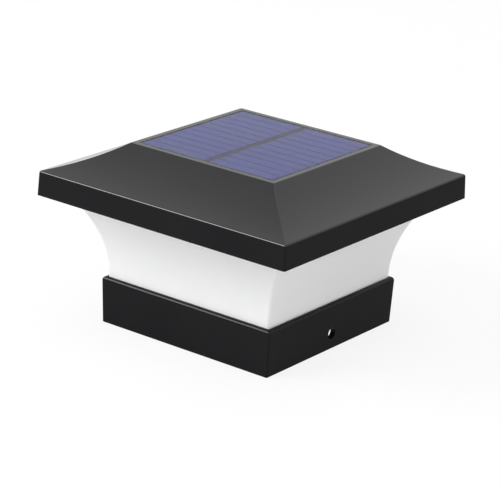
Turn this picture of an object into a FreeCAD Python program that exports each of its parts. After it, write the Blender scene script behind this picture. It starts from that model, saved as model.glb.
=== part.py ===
import FreeCAD, Part
import math
import os
import re
from collections import namedtuple

import Sketcher
from FreeCAD import Placement, Rotation, Vector

# Solar light that caps a nominal four-inch timber deck post.
# Millimetres, +Z up, origin at the centre of the skirt's open rim.
# The three large mouldings are square in plan, so each is the common part of one
# side outline seen along X and the same outline seen along Y. Where a moulding is
# hollow, a core of the hollow's shape, notched for its ribs and bosses, is cut out.

SIZES = {
    # base skirt
    "skirt_half": 48.5,
    "skirt_top_half": 49.15,
    "base_top": 22.6,
    "shoulder_round": 1.8,
    "socket_half": 45.9,
    "post_stop": 15.0,
    "floor_under": 17.8,
    "floor_top": 20.2,
    "groove_half": 47.2,
    "locator_half": 44.7,
    "locator_wall": 1.5,
    "stop_leg": 18.0,
    "side_hole_height": 7.75,
    "side_hole_radius": 2.8,
    "corner_edge": 0.8,
    "boss_wide_radius": 3.5,
    "head_recess_radius": 3.2,
    "moulding_screw_hole": 1.65,
    "moulding_pilot": 1.45,
    # battery bay in the skirt's floor
    "bay_half_length": 28.7,
    "bay_half_width": 7.7,
    "frame_half_length": 41.5,
    "frame_half_width": 17.0,
    "frame_top": 22.8,
    "rebate_top": 20.4,
    "rebate_back": 36.0,
    "rebate_front": 38.0,
    "rebate_half_width": 12.7,
    "hinge_reach": 34.0,
    "hinge_height": 18.4,
    "hinge_rod_radius": 0.9,
    "hinge_play": 0.06,
    "hook_wall": 0.64,
    "hook_inside": 6.0,
    "hook_outside": 10.0,
    "ear_thickness": 1.0,
    "ear_gap": 0.4,
    "ear_drop": 1.0,
    "ear_half_length": 1.6,
    "ear_set_back": 0.4,
    "door_boss_radius": 2.8,
    "door_boss_top": 25.4,
    "door_pilot_top": 24.2,
    "case_pilot_bottom": 18.5,
    "case_pilot_radius": 1.05,
    # battery door
    "door_under": 18.0,
    "door_thickness": 1.6,
    "door_back": 32.2,
    "door_front": 37.6,
    "door_half_width": 12.3,
    "seal_width": 1.5,
    "seal_margin": 0.5,
    "seal_gap": 0.05,
    "door_screw_reach": 34.0,
    "door_screw_hole": 1.4,
    "cell_rib_x": 14.0,
    "cell_rib_half_length": 0.8,
    "cell_rib_half_width": 5.0,
    "cell_rib_height": 1.1,
    "hook_mouth_half": 0.7,
    # diffuser lens
    "gasket_thickness": 0.6,
    "lens_foot_half": 47.05,
    "lens_wall": 2.0,
    "cove_start": 23.0,
    "cove_end": 56.0,
    "cove_radius": 62.0,
    "flange_under": 65.0,
    "lens_top": 67.0,
    "flange_half": 64.6,
    "lens_edge": 1.2,
    "foot_block_inner": 36.5,
    "foot_block_top": 32.0,
    "block_pilot_top": 30.5,
    "lens_screw_reach": 40.5,
    "tab_leg": 17.0,
    "roof_screw_reach": 54.5,
    # roof
    "brim_low": 62.1,
    "brim_low_half": 70.85,
    "brim_top": 73.6,
    "brim_half": 70.4,
    "brim_round": 1.0,
    "slope_radius": 100.0,
    "rim_half": 41.05,
    "roof_top": 87.6,
    "shell": 2.2,
    "well_half": 38.7,
    "well_depth": 3.8,
    "rib_ring_half": 64.4,
    "rib_ring_wall": 2.0,
    "stiffener": 1.2,
    "stiffener_low": 71.5,
    "stiffener_offset": 20.0,
    "boss_radius": 3.4,
    "roof_pilot_top": 75.4,
    "lead_hole_radius": 3.0,
    # reflector
    "reflector_half": 61.5,
    "reflector_thickness": 1.4,
    "reflector_hole_radius": 5.0,
    # solar panel
    "glazing_sink": 1.3,
    "glazing_thickness": 0.8,
    "cell_thickness": 0.2,
    "board_thickness": 1.2,
    "panel_half": 38.3,
    "cell_inner": 1.6,
    "cell_outer": 37.4,
    "cell_pitch": 6.8,
    "cell_slit": 0.3,
    "cell_rows": 11,
    "ribbon_width": 1.5,
    "bead_width": 3.0,
    "bead_margin": 0.8,
    "glazing_overlap": 0.2,
    # battery case
    "case_half_length": 31.5,
    "case_half_width": 9.6,
    "case_top": 37.4,
    "case_roof": 1.6,
    "case_ear_half": 3.2,
    "case_ear_top": 24.8,
    "case_screw_x": 24.0,
    "case_screw_y": 14.4,
    "post_height": 2.0,
    "post_radius": 2.2,
    "post_x": 21.0,
    "post_y": 7.2,
    "post_pilot_radius": 0.9,
    "post_pilot_depth": 3.0,
    "case_ear_hole": 1.2,
    # cell and contacts
    "cell_axis_height": 28.1,
    "can_radius": 7.05,
    "sleeve_thickness": 0.15,
    "can_back": 22.4,
    "can_front": 26.9,
    "nub_radius": 2.75,
    "contact_thickness": 0.5,
    "contact_half_width": 5.0,
    "contact_low": 22.9,
    "contact_high": 35.6,
    "tag_half_width": 1.5,
    "tag_top": 40.0,
    "spring_wire_radius": 0.4,
    "spring_plate_radius": 5.0,
    "spring_cell_radius": 3.0,
    "spring_turns": 3,
    # light board
    "light_board_half_length": 25.0,
    "light_board_half_width": 16.0,
    "light_board_thickness": 1.6,
    "led_side": 5.0,
    "led_height": 1.6,
    "led_y": 12.8,
    "board_screw_hole": 1.1,
    "chip_back": -8.5,
    "chip_length": 5.0,
    "chip_half_width": 2.0,
    "chip_half_reach": 3.0,
    "chip_stand": 0.1,
    "chip_height": 1.5,
    "leg_pitch": 1.27,
    "leg_width": 0.4,
    "leg_length": 1.5,
    "leg_height": 0.6,
    "drum_x": 6.0,
    "drum_y": 3.0,
    "drum_rim_radius": 3.0,
    "drum_rim_height": 1.0,
    "drum_core_radius": 2.2,
    "drum_height": 5.5,
    "can_x": 11.5,
    "can_y": -6.0,
    "capacitor_radius": 2.5,
    "capacitor_height": 7.0,
    "capacitor_chamfer": 0.4,
    # slide switch
    "switch_y": 29.0,
    "switch_half_length": 5.0,
    "switch_half_width": 2.7,
    "switch_height": 5.0,
    "switch_wall": 0.4,
    "switch_ear_reach": 9.5,
    "switch_ear_thickness": 0.6,
    "switch_screw_x": 7.4,
    "switch_base_thickness": 1.2,
    "switch_pilot_radius": 0.95,
    "switch_pilot_depth": 1.0,
    "switch_ear_hole": 1.05,
    "finger_half_length": 7.5,
    "finger_half_width": 4.0,
    "finger_depth": 1.2,
    "slot_play": 0.6,
    "knob_play": 0.3,
    "slider_rest": 1.1,
    "slider_half_length": 2.8,
    "slider_half_width": 2.1,
    "slider_height": 2.6,
    "slider_gap": 0.1,
    "knob_half_length": 1.2,
    "knob_half_width": 1.0,
    "knob_low": 16.6,
    "terminal_pitch": 2.5,
    "terminal_top": 28.2,
    # leads
    "lead_radius": 0.65,
    "lead_hole_reach": 1.1,
    # screws: head radius and height, shank radius and length
    "roof_screw_head": 2.7,
    "roof_screw_rise": 2.0,
    "roof_screw_shank": 1.4,
    "roof_screw_length": 10.0,
    "lens_screw_head": 2.8,
    "lens_screw_rise": 2.0,
    "lens_screw_shank": 1.4,
    "lens_screw_length": 12.2,
    "case_screw_head": 2.1,
    "case_screw_rise": 1.4,
    "case_screw_shank": 1.0,
    "case_screw_length": 6.0,
    "board_screw_head": 2.0,
    "board_screw_rise": 1.3,
    "board_screw_shank": 0.85,
    "board_screw_length": 4.4,
    "switch_screw_head": 1.7,
    "switch_screw_rise": 1.2,
    "switch_screw_shank": 0.9,
    "switch_screw_length": 1.5,
    "door_screw_head": 2.3,
    "door_screw_rise": 1.6,
    "door_screw_shank": 1.2,
    "door_screw_length": 5.0,
}

# Formulas that several pieces share.
PANEL_TOP = "roof_top - glazing_sink"
CELL_TOP = f"{PANEL_TOP} - glazing_thickness"
BOARD_TOP = f"{CELL_TOP} - cell_thickness"
BOARD_UNDER = f"{BOARD_TOP} - board_thickness"
WELL_FLOOR = "roof_top - well_depth"
TRAY_UNDER = f"{WELL_FLOOR} - shell"
LENS_FOOT = "floor_top + gasket_thickness"
REFLECTOR_TOP = "lens_top + reflector_thickness"
RING_LOW = "lens_top + gasket_thickness"
LIGHT_BOARD_UNDER = "case_top + post_height"
LIGHT_BOARD_TOP = f"{LIGHT_BOARD_UNDER} + light_board_thickness"
DOOR_TOP = "door_under + door_thickness"

CORNERS = ((1, 1), (-1, 1), (-1, -1), (1, -1))

doc = FreeCAD.newDocument("post_cap_light")
sheet = doc.addObject("Spreadsheet::Sheet", "Sizes")
finished = []

# A corner of an outline. `rounding` is its edge radius, and `hollow` is the radius
# of the inward-bowed side that follows it, where that side isn't straight.
Corner = namedtuple("Corner", "x y rounding hollow", defaults=(None, None))


# ---------------------------------------------------------------- sheet and objects

def fill_sheet():
    for row, (alias, number) in enumerate(SIZES.items(), start=1):
        sheet.set(f"A{row}", alias)
        sheet.set(f"B{row}", str(number))
        sheet.setAlias(f"B{row}", alias)
    doc.recompute()


def in_sheet(formula):
    """Point each size that a formula names at its cell."""
    def to_cell(word):
        return f"Sizes.{word.group()}" if word.group() in SIZES else word.group()
    return re.sub(r"[a-z_]+", to_cell, str(formula))


def value(formula):
    return float(sheet.evalExpression(in_sheet(formula)))


def bind(thing, formulas):
    for name, formula in formulas.items():
        thing.setExpression(name, in_sheet(formula))


def finish(thing, label):
    """Name the finished sub-part and put it on the list that is written out."""
    thing.Label = label
    finished.append(thing)
    return thing


def box(name, x, y, z, length, width, height):
    """Box whose lowest corner is at x, y, z."""
    block = doc.addObject("Part::Box", name)
    bind(block, {"Length": length, "Width": width, "Height": height,
                 "Placement.Base.x": x, "Placement.Base.y": y, "Placement.Base.z": z})
    return block


def cylinder(name, x, y, z, radius, height):
    rod = doc.addObject("Part::Cylinder", name)
    bind(rod, {"Radius": radius, "Height": height,
               "Placement.Base.x": x, "Placement.Base.y": y, "Placement.Base.z": z})
    return rod


def rod_along_x(name, x, y, z, radius, length):
    rod = doc.addObject("Part::Cylinder", name)
    rod.Placement.Rotation = Rotation(Vector(0, 1, 0), 90)
    bind(rod, {"Radius": radius, "Height": length,
               "Placement.Base.x": x, "Placement.Base.y": y, "Placement.Base.z": z})
    return rod


def cut(name, base, tool):
    result = doc.addObject("Part::Cut", name)
    result.Base = base
    result.Tool = tool
    return result


def gather(kind, name, things):
    result = doc.addObject(kind, name)
    if kind == "Part::Compound":
        result.Links = things
    else:
        result.Shapes = things
    return result


def fuse(name, things):
    return gather("Part::MultiFuse", name, things)


def group(name, things):
    return gather("Part::Compound", name, things)


# ---------------------------------------------------------------- bodies and sketches

def new_body(name, base=None):
    body = doc.addObject("PartDesign::Body", name)
    if base:
        body.BaseFeature = base
        doc.recompute()
    return body


def new_sketch(body, name, level="0", role="XY_Plane"):
    """Sketch on one of the body's own planes, raised to a level."""
    plane = next(f for f in body.Origin.OriginFeatures if f.Role == role)
    sketch = body.newObject("Sketcher::SketchObject", name)
    sketch.AttachmentSupport = [(plane, "")]
    sketch.MapMode = "FlatFace"
    bind(sketch, {"AttachmentOffset.Base.z": level})
    return sketch


def constrain(sketch, formula, kind, *where):
    index = sketch.addConstraint(Sketcher.Constraint(kind, *where, value(formula)))
    sketch.setExpression(f"Constraints[{index}]", in_sheet(formula))


def pin(sketch, geometry, point, x, y):
    """Hold a sketch point at x, y from the origin."""
    constrain(sketch, x, "DistanceX", -1, 1, geometry, point)
    constrain(sketch, y, "DistanceY", -1, 1, geometry, point)


def add_circle(sketch, x, y, radius):
    circle = Part.Circle(Vector(value(x), value(y), 0), Vector(0, 0, 1), value(radius))
    index = sketch.addGeometry(circle, False)
    pin(sketch, index, 3, x, y)
    constrain(sketch, radius, "Radius", index)


class Side:
    """One side of an outline, straight or bowed inwards, and its place in a sketch."""

    def __init__(self, start, end, radius):
        self.start = start
        self.end = end
        self.radius = radius
        self.start_point = 2 if radius else 1
        self.end_point = 1 if radius else 2
        self.centre = None
        if radius:
            chord = end - start
            reach = math.sqrt(radius ** 2 - (chord.Length / 2) ** 2)
            outward = Vector(chord.y, -chord.x, 0).normalize()
            self.centre = (start + end) / 2 + outward * reach

    def heading(self, point):
        """Direction of travel where the side passes a point."""
        if not self.radius:
            return (self.end - self.start).normalize()
        spoke = point - self.centre
        return Vector(spoke.y, -spoke.x, 0).normalize()

    def geometry(self, start, end):
        if not self.radius:
            return Part.LineSegment(start, end)
        return arc_about(self.centre, self.radius, end, start)


def arc_about(centre, radius, start, end):
    """Anticlockwise arc from start to end."""
    first = math.atan2(start.y - centre.y, start.x - centre.x)
    last = math.atan2(end.y - centre.y, end.x - centre.x)
    return Part.ArcOfCircle(Part.Circle(centre, Vector(0, 0, 1), radius), first, last)


def draw_outline(sketch, corners):
    """Draw a closed anticlockwise outline and tie its corners and radii to the sheet."""
    count = len(corners)
    spots = [Vector(value(c.x), value(c.y), 0) for c in corners]
    sides = []
    for index, corner in enumerate(corners):
        radius = value(corner.hollow) if corner.hollow else None
        sides.append(Side(spots[index], spots[(index + 1) % count], radius))
    arrive = list(spots)
    leave = list(spots)
    rounds = {}
    for index, corner in enumerate(corners):
        if corner.rounding:
            radius = value(corner.rounding)
            spot = spots[index]
            back = -sides[index - 1].heading(spot)
            ahead = sides[index].heading(spot)
            half_angle = back.getAngle(ahead) / 2
            arrive[index] = spot + back * (radius / math.tan(half_angle))
            leave[index] = spot + ahead * (radius / math.tan(half_angle))
            middle = (back + ahead).normalize() * (radius / math.sin(half_angle))
            rounds[index] = arc_about(spot + middle, radius, arrive[index], leave[index])
    places = []
    for index, side in enumerate(sides):
        following = (index + 1) % count
        places.append(sketch.addGeometry(side.geometry(leave[index], arrive[following]), False))
        if side.radius:
            constrain(sketch, corners[index].hollow, "Radius", places[index])
    for index, corner in enumerate(corners):
        before = (places[index - 1], sides[index - 1].end_point)
        after = (places[index], sides[index].start_point)
        if index not in rounds:
            sketch.addConstraint(Sketcher.Constraint("Coincident", *before, *after))
            pin(sketch, *after, corner.x, corner.y)
            continue
        bend = sketch.addGeometry(rounds[index], False)
        sketch.addConstraint(Sketcher.Constraint("Tangent", *before, bend, 1))
        sketch.addConstraint(Sketcher.Constraint("Tangent", bend, 2, *after))
        constrain(sketch, corner.rounding, "Radius", bend)
        tip = sketch.addGeometry(Part.Point(spots[index]), True)
        pin(sketch, tip, 1, corner.x, corner.y)
        sketch.addConstraint(Sketcher.Constraint("PointOnObject", tip, 1, before[0]))
        sketch.addConstraint(Sketcher.Constraint("PointOnObject", tip, 1, after[0]))


def add_rectangle(sketch, x, y, half_length, half_width, rounding=None):
    draw_outline(sketch, [
        Corner(f"{x} - ({half_length})", f"{y} - ({half_width})", rounding),
        Corner(f"{x} + {half_length}", f"{y} - ({half_width})", rounding),
        Corner(f"{x} + {half_length}", f"{y} + {half_width}", rounding),
        Corner(f"{x} - ({half_length})", f"{y} + {half_width}", rounding),
    ])


def add_square(sketch, half):
    add_rectangle(sketch, "0", "0", half, half)


def add_corner_triangle(sketch, sign_x, sign_y, reach, leg):
    """Right-angled triangle in a corner of a square, its legs along the square's sides."""
    corners = [
        Corner(f"{sign_x} * ({reach})", f"{sign_y} * ({reach})"),
        Corner(f"{sign_x} * ({reach} - ({leg}))", f"{sign_y} * ({reach})"),
        Corner(f"{sign_x} * ({reach})", f"{sign_y} * ({reach} - ({leg}))"),
    ]
    draw_outline(sketch, corners if sign_x == sign_y else [corners[0], corners[2], corners[1]])


def corner_circles(sketch, x, y, radius):
    for sign_x, sign_y in CORNERS:
        add_circle(sketch, f"{sign_x} * ({x})", f"{sign_y} * ({y})", radius)


def pad(body, sketch, length, symmetric=False):
    """Thicken a sketch upwards, or to both sides of its plane."""
    feature = body.newObject("PartDesign::Pad", f"{sketch.Name}_pad")
    feature.Profile = (sketch, [""])
    if symmetric:
        feature.SideType = "Symmetric"
    bind(feature, {"Length": length})
    doc.recompute()
    return feature


def pocket(body, sketch, depth, upwards=False, symmetric=False):
    """Cut a sketch's area downwards, or upwards, and make sure that something was cut."""
    before = body.Shape.Volume
    feature = body.newObject("PartDesign::Pocket", f"{sketch.Name}_pocket")
    feature.Profile = (sketch, [""])
    feature.Reversed = upwards
    if symmetric:
        feature.SideType = "Symmetric"
    bind(feature, {"Length": depth})
    doc.recompute()
    if before - body.Shape.Volume < 1e-3:
        raise RuntimeError(f"{feature.Name} cuts nothing")
    return feature


def crossed_block(name, corners, reach):
    """Solid that shows the same outline along X and along Y."""
    views = []
    for role in ("XZ_Plane", "YZ_Plane"):
        body = new_body(f"{name}_{role[:2].lower()}")
        sketch = new_sketch(body, f"{name}_{role[:2].lower()}_outline", role=role)
        draw_outline(sketch, corners)
        pad(body, sketch, f"2 * ({reach})", symmetric=True)
        views.append(body)
    block = gather("Part::MultiCommon", name, views)
    doc.recompute()
    return block


def mitre_edges(shape):
    """Numbers of the corner edges, which lie in the two diagonal planes."""
    numbers = []
    for number, edge in enumerate(shape.Edges, start=1):
        middle = edge.valueAt((edge.FirstParameter + edge.LastParameter) / 2)
        points = [middle] + [vertex.Point for vertex in edge.Vertexes]
        if all(abs(abs(p.x) - abs(p.y)) < 1e-4 for p in points):
            numbers.append(number)
    return numbers


def crossed_form(name, corners, reach, edge_radius):
    """Crossed block whose upright corners and hips are rounded."""
    form = doc.addObject("Part::Fillet", name)
    form.Base = crossed_block(f"{name}_block", corners, reach)
    radius = value(edge_radius)
    form.Edges = [(number, radius, radius) for number in mitre_edges(form.Base.Shape)]
    doc.recompute()
    return form


def mirrored(right_side):
    """Close an outline that is given as its right side, from the bottom up."""
    left_side = []
    for index, corner in enumerate(reversed(right_side)):
        following = len(right_side) - 2 - index
        hollow = right_side[following].hollow if following >= 0 else None
        left_side.append(Corner(f"-({corner.x})", corner.y, corner.rounding, hollow))
    return right_side + left_side


# ---------------------------------------------------------------- roof

def slope_centre():
    """Centre of the roof slope's arc, which its inner face shares."""
    foot = Vector(value("brim_half"), value("brim_top"), 0)
    head = Vector(value("rim_half"), value("roof_top"), 0)
    return Side(foot, head, value("slope_radius")).centre


def inner_slope_height(half):
    """Height of the shell's inner face above a given half width."""
    centre = slope_centre()
    radius = value("slope_radius + shell")
    return centre.y - math.sqrt(radius ** 2 - (centre.x - value(half)) ** 2)


def roof_core():
    """Hollow under the roof, notched for the panel tray, the ribs and the screw bosses."""
    wall_low = "brim_low_half - shell"
    wall_high = "brim_half - shell"
    outline = mirrored([
        Corner(wall_low, "brim_low - 1"),
        Corner(wall_high, inner_slope_height(wall_high), None, "slope_radius + shell"),
        Corner("rim_half", inner_slope_height("rim_half")),
    ])
    body = new_body("roof_core", crossed_block("roof_hollow", outline, "brim_low_half"))
    tray = new_sketch(body, "tray_notch", TRAY_UNDER)
    add_square(tray, "well_half + shell")
    pocket(body, tray, "shell + well_depth", upwards=True)
    ring = new_sketch(body, "ring_notch", RING_LOW)
    add_square(ring, "rib_ring_half")
    add_square(ring, "rib_ring_half - rib_ring_wall")
    pocket(body, ring, "roof_top - lens_top", upwards=True)
    bosses = new_sketch(body, "boss_notches", REFLECTOR_TOP)
    corner_circles(bosses, "roof_screw_reach", "roof_screw_reach", "boss_radius")
    pocket(body, bosses, "roof_top - lens_top", upwards=True)
    ribs = new_sketch(body, "stiffener_notches", "stiffener_low")
    inner = "(well_half + 1)"
    outer = "(rib_ring_half - 1)"
    middle = f"({inner} + {outer}) / 2"
    reach = f"({outer} - {inner}) / 2"
    for side in (-1, 1):
        for row in (-1, 1):
            across = f"{row} * stiffener_offset"
            add_rectangle(ribs, f"{side} * {middle}", across, reach, "stiffener / 2")
            add_rectangle(ribs, across, f"{side} * {middle}", "stiffener / 2", reach)
    pocket(body, ribs, "roof_top - stiffener_low", upwards=True)
    return body


def roof_cap():
    """Square roof with concave hips, an upright brim and a sunk seat for the solar panel."""
    outline = mirrored([
        Corner("brim_low_half", "brim_low"),
        Corner("brim_half", "brim_top", "brim_round", "slope_radius"),
        Corner("rim_half", "roof_top"),
    ])
    form = crossed_form("roof_form", outline, "brim_low_half + 1", "corner_edge")
    body = new_body("roof_cap_body", cut("roof_shell", form, roof_core()))
    well = new_sketch(body, "panel_well", "roof_top")
    add_square(well, "well_half")
    pocket(body, well, "well_depth")
    hole = new_sketch(body, "lead_hole", WELL_FLOOR)
    add_circle(hole, "0", "0", "lead_hole_radius")
    pocket(body, hole, "shell")
    pilots = new_sketch(body, "roof_pilots", "roof_pilot_top")
    corner_circles(pilots, "roof_screw_reach", "roof_screw_reach", "moulding_pilot")
    pocket(body, pilots, f"roof_pilot_top - ({REFLECTOR_TOP})")
    return finish(body, "roof_cap")


def panel_pieces():
    """Backing board, cell strips, ribbon, clear cover and the bead that beds the panel."""
    side = "2 * panel_half"
    board = box("panel_board_box", "-panel_half", "-panel_half", BOARD_UNDER,
                side, side, "board_thickness")
    finish(board, "panel_board")
    glazing = new_body("glazing_body")
    sketch = new_sketch(glazing, "glazing_outline", CELL_TOP)
    add_square(sketch, "panel_half + glazing_overlap")
    pad(glazing, sketch, "glazing_thickness")
    finish(glazing, "panel_glazing")
    strips = []
    for column in (-1, 1):
        for row in range(int(value("cell_rows"))):
            x = "cell_inner" if column > 0 else "-cell_outer"
            y = f"({row} - cell_rows / 2) * cell_pitch + cell_slit / 2"
            strips.append(box(f"strip_{row}_{'left' if column < 0 else 'right'}", x, y, BOARD_TOP,
                              "cell_outer - cell_inner", "cell_pitch - cell_slit",
                              "cell_thickness"))
    finish(group("cell_strips", strips), "solar_cells")
    ribbon = box("ribbon_box", "-ribbon_width / 2", "-cell_rows * cell_pitch / 2", BOARD_TOP,
                 "ribbon_width", "cell_rows * cell_pitch", "cell_thickness * 0.75")
    finish(ribbon, "cell_ribbon")
    bead = new_body("bead_body")
    outline = new_sketch(bead, "bead_outline", WELL_FLOOR)
    add_square(outline, "panel_half - bead_margin")
    add_square(outline, "panel_half - bead_margin - bead_width")
    pad(bead, outline, f"{BOARD_UNDER} - ({WELL_FLOOR})")
    finish(bead, "panel_bead")


def lead_sealant():
    """Plug of sealant that closes the lead hole round the two panel leads."""
    plug = cylinder("plug", "0", "0", TRAY_UNDER, "lead_hole_radius", "shell")
    bores = [cylinder(f"plug_bore_{index}", f"{sign} * lead_hole_reach", "0", TRAY_UNDER,
                      "lead_radius", "shell")
             for index, sign in enumerate((-1, 1))]
    finish(cut("plug_bored", plug, fuse("plug_bores", bores)), "lead_sealant")


# ---------------------------------------------------------------- lens and reflector

COVE_RUN = "sqrt(cove_radius ^ 2 - (cove_end - cove_start) ^ 2)"
COVE_SLOPE = f"(cove_end - cove_start) / {COVE_RUN}"
COVE_CENTRE = "(lens_foot_half + cove_radius)"


def lens_half(level, wall):
    """Half width of the lens on its straight upper stretch, a wall's depth inside the face."""
    end = f"({COVE_CENTRE} - (cove_radius + {wall}) * {COVE_RUN} / cove_radius)"
    rise = f"({level} - ({cove_end_height(wall)}))"
    return f"{end} + {rise} * {COVE_SLOPE}"


def cove_end_height(wall):
    """Height where the cove's arc gives way to the straight stretch."""
    return f"cove_start + (cove_radius + {wall}) * (cove_end - cove_start) / cove_radius"


def cove_outline(wall, low, high):
    """Outline of the flared square lens, or of its hollow when wall isn't zero."""
    foot = f"lens_foot_half - {wall}"
    bend = f"{COVE_CENTRE} - (cove_radius + {wall}) * {COVE_RUN} / cove_radius"
    return mirrored([
        Corner(foot, low),
        Corner(foot, "cove_start", None, f"cove_radius + {wall}"),
        Corner(bend, cove_end_height(wall)),
        Corner(lens_half(high, wall), high),
    ])


def lens_core():
    """Hollow of the lens, notched for the screw blocks at its foot and the tabs at its top."""
    outline = cove_outline("lens_wall", f"{LENS_FOOT} - 1", "lens_top + 1")
    body = new_body("lens_core", crossed_block("lens_hollow", outline, "flange_half"))
    blocks = new_sketch(body, "block_notches", "foot_block_top")
    middle = "(foot_block_inner + lens_foot_half) / 2"
    half = "(lens_foot_half - foot_block_inner) / 2"
    for sign_x, sign_y in CORNERS:
        add_rectangle(blocks, f"{sign_x} * {middle}", f"{sign_y} * {middle}", half, half)
    pocket(body, blocks, "foot_block_top - base_top")
    tabs = new_sketch(body, "tab_notches", "lens_top")
    for sign_x, sign_y in CORNERS:
        add_corner_triangle(tabs, sign_x, sign_y, "flange_half - 2", "tab_leg + 2.7")
    pocket(body, tabs, "lens_top - flange_under")
    return body


def diffuser_lens():
    """Frosted square lens that flares outwards to a flange behind the brim."""
    form = new_body("lens_form_body", crossed_form(
        "lens_form", cove_outline("0", LENS_FOOT, "flange_under"), "flange_half", "lens_edge"))
    flange = new_sketch(form, "lens_flange", "flange_under")
    add_square(flange, "flange_half")
    pad(form, flange, "lens_top - flange_under")
    body = new_body("lens_body", cut("lens_shell", form, lens_core()))
    holes = new_sketch(body, "tab_holes", "lens_top")
    corner_circles(holes, "roof_screw_reach", "roof_screw_reach", "moulding_screw_hole")
    pocket(body, holes, "lens_top - flange_under")
    pilots = new_sketch(body, "block_pilots", "block_pilot_top")
    corner_circles(pilots, "lens_screw_reach", "lens_screw_reach", "moulding_pilot")
    pocket(body, pilots, "block_pilot_top - base_top")
    return finish(body, "diffuser_lens")


def square_ring(label, low, thickness, outer_half, inner_half):
    body = new_body(f"{label}_body")
    sketch = new_sketch(body, f"{label}_outline", low)
    add_square(sketch, outer_half)
    add_square(sketch, inner_half)
    pad(body, sketch, thickness)
    return finish(body, label)


def gaskets():
    square_ring("lower_gasket", "floor_top", "gasket_thickness",
                "groove_half - 0.2", "locator_half + 0.2")
    square_ring("upper_gasket", "lens_top", "gasket_thickness",
                "rib_ring_half - 0.1", "rib_ring_half - rib_ring_wall + 0.1")


def reflector_plate():
    """White plate over the lens, which sends the light down and outwards."""
    body = new_body("reflector_body")
    sketch = new_sketch(body, "reflector_outline", "lens_top")
    add_square(sketch, "reflector_half")
    add_circle(sketch, "0", "0", "reflector_hole_radius")
    corner_circles(sketch, "roof_screw_reach", "roof_screw_reach", "moulding_screw_hole")
    pad(body, sketch, "reflector_thickness")
    return finish(body, "reflector_plate")


# ---------------------------------------------------------------- base skirt

def base_skirt():
    """Open-bottomed skirt that drops over the post, with the floor that carries the works."""
    outline = mirrored([
        Corner("skirt_half", "0"),
        Corner("skirt_top_half", "base_top", "shoulder_round"),
    ])
    body = new_body("skirt_body", crossed_form("skirt_form", outline, "skirt_half + 2",
                                               "corner_edge"))
    socket = new_sketch(body, "post_socket", "floor_under")
    add_square(socket, "socket_half")
    pocket(body, socket, "floor_under")
    inside = new_sketch(body, "floor_hollow", "base_top")
    add_square(inside, "groove_half")
    pocket(body, inside, "base_top - floor_top")
    locator = new_sketch(body, "locator_ring", "floor_top")
    add_square(locator, "locator_half")
    add_square(locator, "locator_half - locator_wall")
    pad(body, locator, "base_top - floor_top")
    stops = new_sketch(body, "post_stops", "post_stop")
    for sign_x, sign_y in CORNERS:
        add_corner_triangle(stops, sign_x, sign_y, "socket_half + 0.5", "stop_leg + 0.5")
    pad(body, stops, "floor_under - post_stop")
    bosses = new_sketch(body, "floor_bosses", "floor_top")
    corner_circles(bosses, "lens_screw_reach", "lens_screw_reach", "boss_wide_radius")
    pad(body, bosses, "base_top - floor_top")
    recesses = new_sketch(body, "head_recesses", "floor_under")
    corner_circles(recesses, "lens_screw_reach", "lens_screw_reach", "head_recess_radius")
    pocket(body, recesses, "floor_under - post_stop")
    holes = new_sketch(body, "lens_screw_holes", "base_top")
    corner_circles(holes, "lens_screw_reach", "lens_screw_reach", "moulding_screw_hole")
    pocket(body, holes, "base_top - floor_under")
    battery_bay(body)
    switch_seat(body)
    side_holes = new_sketch(body, "side_holes", role="YZ_Plane")
    add_circle(side_holes, "0", "side_hole_height", "side_hole_radius")
    pocket(body, side_holes, "2 * skirt_top_half + 2", symmetric=True)
    return finish(body, "base_skirt")


def battery_bay(body):
    """Raised frame, door rebate, bay mouth, hinge rod and door screw boss in the floor."""
    frame = new_sketch(body, "bay_frame", "floor_top")
    add_rectangle(frame, "0", "0", "frame_half_length", "frame_half_width", "2")
    pad(body, frame, "frame_top - floor_top")
    boss = new_sketch(body, "door_screw_boss", "frame_top")
    add_circle(boss, "door_screw_reach + 1", "0", "door_boss_radius")
    pad(body, boss, "door_boss_top - frame_top")
    rebate = new_sketch(body, "door_rebate", "rebate_top")
    add_rectangle(rebate, "(rebate_front - rebate_back) / 2", "0",
                  "(rebate_front + rebate_back) / 2", "rebate_half_width")
    pocket(body, rebate, "rebate_top - floor_under")
    mouth = new_sketch(body, "bay_mouth", "frame_top")
    add_rectangle(mouth, "0", "0", "bay_half_length", "bay_half_width")
    pocket(body, mouth, "frame_top - rebate_top")
    pilot = new_sketch(body, "door_screw_pilot", "door_pilot_top")
    add_circle(pilot, "door_screw_reach", "0", "moulding_pilot")
    pocket(body, pilot, "door_pilot_top - rebate_top")
    case_pilots = new_sketch(body, "case_pilots", "frame_top")
    corner_circles(case_pilots, "case_screw_x", "case_screw_y", "case_pilot_radius")
    pocket(body, case_pilots, "frame_top - case_pilot_bottom")
    ears = new_sketch(body, "hinge_ears", "hinge_height - ear_drop")
    inner_ear = "(hook_inside - ear_gap - ear_thickness / 2)"
    outer_ear = "(hook_outside + ear_gap + ear_thickness / 2)"
    for place in (f"-{outer_ear}", f"-{inner_ear}", inner_ear, outer_ear):
        add_rectangle(ears, "-hinge_reach - ear_set_back", place, "ear_half_length",
                      "ear_thickness / 2")
    pad(body, ears, "rebate_top + 0.2 - hinge_height + ear_drop")
    rod = new_sketch(body, "hinge_rod", role="XZ_Plane")
    add_circle(rod, "-hinge_reach", "hinge_height", "hinge_rod_radius")
    pad(body, rod, f"2 * {outer_ear}", symmetric=True)


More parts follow.
